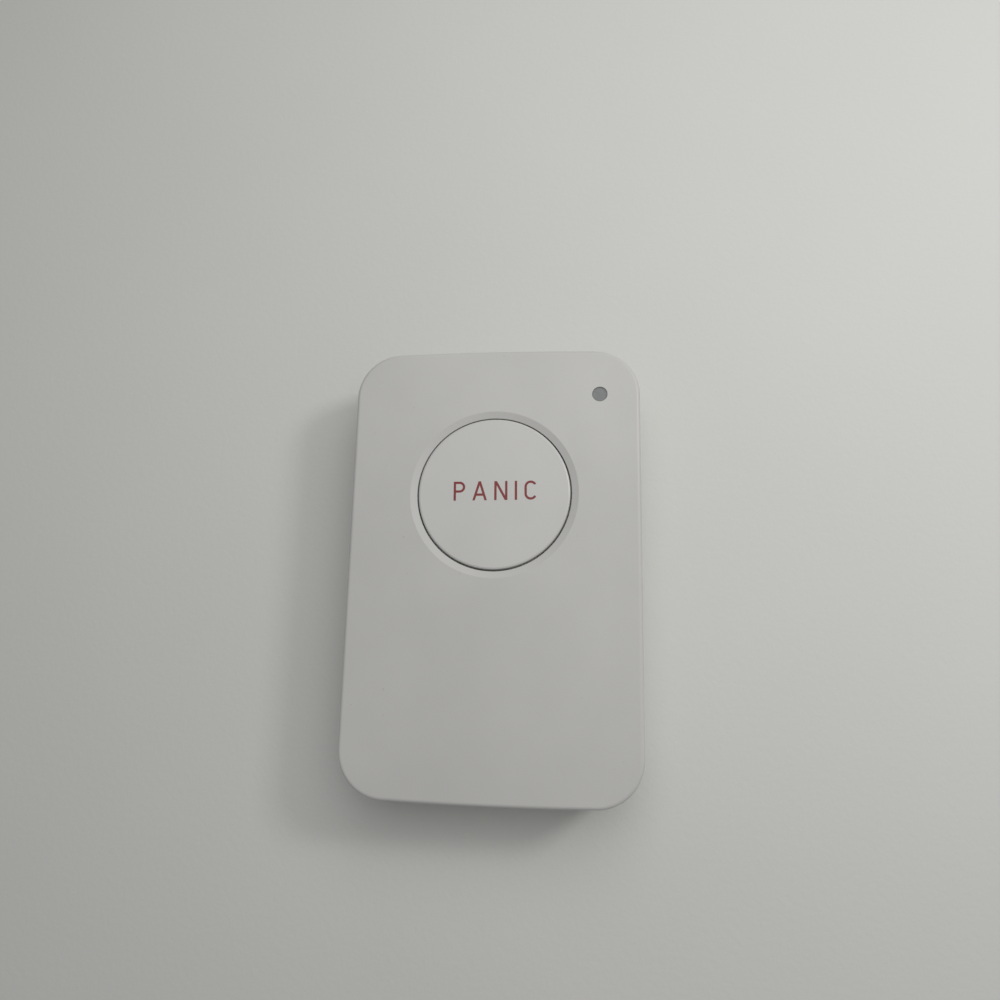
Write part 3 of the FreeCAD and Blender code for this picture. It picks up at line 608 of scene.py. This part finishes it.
screwLook = {
    "columns": 64,
    "headRows": 36,
    "cornerRows": 8,
    "dome": 0.08,               # rise of the head's face, as a share of its radius
    "corner": 0.30,             # rounded corner of the head, as a share of its radius
    "crossLength": 1.16,        # of the recess, as a share of the head's radius
    "crossWidth": 0.28,
    "crossDepth": 0.42,
    "crossSoft": 0.10,
    "cornerDrop": 0.6,          # of the head's height, which the rounded corner takes
    "pitch": 0.75 * millimetre,
    "threadDepth": 0.24,        # as a share of the shank's radius
    "threadSharpness": 3.2,
    "pointTurns": 1.5,          # turns over which the shank tapers
    "pointRadius": 0.55,        # of its end, as a share of the shank's radius
    "rowsPerTurn": 10,
}


def smoothStep(value):
    # Three times the square less twice the cube, from 0 to 1
    value = np.clip(value, 0.0, 1.0)
    return value * value * (3.0 - 2.0 * value)


def screwSheet(x, y, headZ, seatZ, tipZ, headRadius, shankRadius, look):
    # A surface of revolution of a head and shank profile. The head's face sinks where the larger
    # of two soft crossed bars is, and the shank's radius follows a sawtooth of height less angle.
    angles = np.linspace(0.0, 2.0 * np.pi, look["columns"], endpoint=False)
    share = np.linspace(0.0, 1.0, look["headRows"])
    corner = headRadius * look["corner"]
    faceRadius = share * (headRadius - corner)
    faceZ = headZ + headRadius * look["dome"] * share ** 2
    bend = np.linspace(0.0, np.pi / 2, look["cornerRows"])[1:]
    bendRadius = headRadius - corner + corner * np.sin(bend)
    bendZ = faceZ[-1] + (seatZ - faceZ[-1]) * look["cornerDrop"] * (1.0 - np.cos(bend))
    turns = (tipZ - seatZ) / look["pitch"]
    rows = int(turns * look["rowsPerTurn"])
    shankZ = np.linspace(seatZ, tipZ, rows)
    point = look["pointRadius"]
    taper = point + (1.0 - point) * smoothStep((tipZ - shankZ) / (look["pointTurns"] * look["pitch"]))
    starts = smoothStep((shankZ - seatZ) / look["pitch"])
    radius = np.concatenate([faceRadius, bendRadius, [headRadius], np.full(rows, shankRadius), [0.0]])
    height = np.concatenate([faceZ, bendZ, [seatZ], shankZ, [tipZ]])
    radius = np.repeat(radius[:, None], len(angles), axis=1)
    height = np.repeat(height[:, None], len(angles), axis=1)
    # Thread
    first = len(faceRadius) + len(bendRadius) + 1
    phase = (shankZ[:, None] / look["pitch"] - angles[None, :] / (2.0 * np.pi)) % 1.0
    ridge = np.clip(1.0 - np.abs(phase - 0.5) * look["threadSharpness"], 0.0, 1.0)
    depth = look["threadDepth"] * starts[:, None]
    radius[first:first + rows] *= (1.0 - depth * (1.0 - ridge)) * taper[:, None]
    across = radius * np.cos(angles)
    along = radius * np.sin(angles)
    # Cross recess
    face = slice(0, len(faceRadius))
    u, v = np.abs(across[face]) / headRadius, np.abs(along[face]) / headRadius
    soft = look["crossSoft"]

    def bar(a, b):
        return (smoothStep((look["crossLength"] / 2 - a) / soft)
                * smoothStep((look["crossWidth"] / 2 + soft / 2 - b) / soft))

    height[face] += np.maximum(bar(u, v), bar(v, u)) * look["crossDepth"] * headRadius
    return np.stack([across + x, along + y, height], axis=-1)


def makeScrews(name, spots, size, look):
    low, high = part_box(name)
    levels = (low.z, low.z + size["headHeight"], high.z)
    sheets = [screwSheet(x, y, *levels, size["head"], size["shank"], look) for x, y in spots]
    piece = gridMesh(name + "_threaded", sheets, metals["zincSteel"], "housing")
    piece.data.polygons.foreach_set("use_smooth", np.ones(len(piece.data.polygons), bool))
    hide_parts(name)
    return piece


# Radii of the head and the shank, and the head's height
caseScrew = {"head": 1.9 * millimetre, "headHeight": 1.3 * millimetre, "shank": 0.98 * millimetre}
boardScrew = {"head": 1.5 * millimetre, "headHeight": 1.0 * millimetre, "shank": 0.78 * millimetre}
caseLow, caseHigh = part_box("case_screws")
boardLow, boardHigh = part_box("board_screws")
caseX = caseHigh.x - caseScrew["head"]
headSides = 18
headReach = caseScrew["head"] * math.cos(math.pi / headSides)      # the CAD head has a flat side at +Y
caseTop, caseFoot = caseHigh.y - headReach, caseLow.y + headReach
boardX, boardY = boardHigh.x - boardScrew["head"], (boardLow.y + boardHigh.y) / 2
makeScrews("case_screws", [(0.0, caseTop), (caseX, caseFoot), (-caseX, caseFoot)], caseScrew, screwLook)
makeScrews("board_screws", [(boardX, boardY), (-boardX, boardY)], boardScrew, screwLook)
print("screws made")


# Plus sign stamped on the cell's can, its darker steel painted shade that stands in for the stamp's
# shading

cellMark = {
    "reach": 1.7 * millimetre,
    "stroke": 0.75 * millimetre,
    "proud": 0.03 * millimetre,
    "sunk": 0.02 * millimetre,
    "overlapStep": 0.0006 * millimetre,     # between the faces of the two bars
}


def makeCellMark(look):
    # Two crossed bars at the middle of the can's face, raised a little; their darker steel is painted
    # shade
    x, y, reach, stroke = cellMiddle.x, cellMiddle.y, look["reach"], look["stroke"]
    low, high = cellLow.z - look["proud"], cellLow.z + look["sunk"]
    sheets = [evenStroke([(x - reach, y), (x + reach, y)], stroke, low, high),
              evenStroke([(x, y - reach), (x, y + reach)], stroke, low + look["overlapStep"], high)]
    return gridMesh("cell_plus", sheets, metals["shadedMarkSteel"], "housing")


makeCellMark(cellMark)
print("cell mark made")


# Floor, light and camera

studio = {
    "floorSize": 1.6,
    "floorDrop": 0.02 * millimetre,     # so that the floor and the back face don't share a plane
    "floorColour": (0.655, 0.658, 0.636),
    "floorRoughness": 0.75,
    "floorSpecular": 0.25,
    "floorShades": (0.97, 1.03),
    "floorCloudScale": 18.0,
    "floorGrainScale": 900.0,
    "floorGrainDepth": 0.00004,
    "skyColour": (1.0, 1.0, 1.0),
    "skyStrength": 0.25,
}
softLights = {
    "key": {"place": (0.062, 0.112, 0.240), "size": 0.27, "power": 0.365, "colour": (1.0, 0.995, 0.98)},
    "side": {"place": (0.180, 0.090, 0.181), "size": 0.05, "power": 0.155, "colour": (1.0, 0.995, 0.98)},
}


def makeFloor(look):
    half, level = look["floorSize"] / 2, -look["floorDrop"]
    corners = [(-half, -half, level), (half, -half, level), (half, half, level), (-half, half, level)]
    mesh = bpy.data.meshes.new("floor")
    mesh.from_pydata(corners, [], [(0, 1, 2, 3)])
    material, tree, shader, place = startMaterial("paleFloor", Roughness=look["floorRoughness"],
                                                  Specular_IOR_Level=look["floorSpecular"])
    cloud = noise(tree, place, look["floorCloudScale"], 4.0)
    darker, lighter = [shaded(look["floorColour"], share) for share in look["floorShades"]]
    feed(tree, mixColour(tree, cloud, darker, lighter), shader, "Base Color")
    grain = noise(tree, place, look["floorGrainScale"], 3.0)
    feed(tree, bump(tree, grain, look["floorGrainDepth"]), shader, "Normal")
    mesh.materials.append(material)
    floor = bpy.data.objects.new("floor", mesh)
    bpy.context.scene.collection.objects.link(floor)


def makeLight(name, look):
    # A square soft light that faces the origin
    light = bpy.data.lights.new(name, "AREA")
    light.shape = "SQUARE"
    light.size = look["size"]
    light.energy = look["power"]
    light.color = look["colour"]
    lamp = bpy.data.objects.new(name, light)
    aim = Vector(look["place"]).to_track_quat("Z", "Y")
    lamp.matrix_world = Matrix.Translation(look["place"]) @ aim.to_matrix().to_4x4()
    bpy.context.scene.collection.objects.link(lamp)


def makeSky(look):
    # An even pale world, shown without a film curve
    world = bpy.data.worlds.new("studio")
    world.use_nodes = True
    sky = world.node_tree.nodes["Background"]
    sky.inputs["Color"].default_value = opaque(look["skyColour"])
    sky.inputs["Strength"].default_value = look["skyStrength"]
    bpy.context.scene.world = world
    bpy.context.scene.view_settings.view_transform = "Standard"


photoView = {
    "place": (13.91, -11.07, 125.58),   # millimetres
    "lean": (-10.8, -6.3, -1.2),        # degrees by which the object is turned in the camera's view
    "lens": 27.0,
    "sensor": 36.0,
    "nearest": 0.005,
}


def makeCamera(look):
    camera = bpy.data.cameras.new("camera")
    camera.lens = look["lens"]
    camera.sensor_width = look["sensor"]
    camera.clip_start = look["nearest"]
    lean = [Matrix.Rotation(math.radians(angle), 3, axis) for angle, axis in zip(look["lean"], "XYZ")]
    seen = lean[0] @ lean[1] @ lean[2]
    viewer = bpy.data.objects.new("camera", camera)
    place = Vector(look["place"]) * millimetre
    viewer.matrix_world = Matrix.Translation(place) @ seen.transposed().to_4x4()
    bpy.context.scene.collection.objects.link(viewer)
    bpy.context.scene.camera = viewer


makeFloor(studio)
for name, look in softLights.items():
    makeLight(name, look)
makeSky(studio)
makeCamera(photoView)
print("floor, light and camera made")
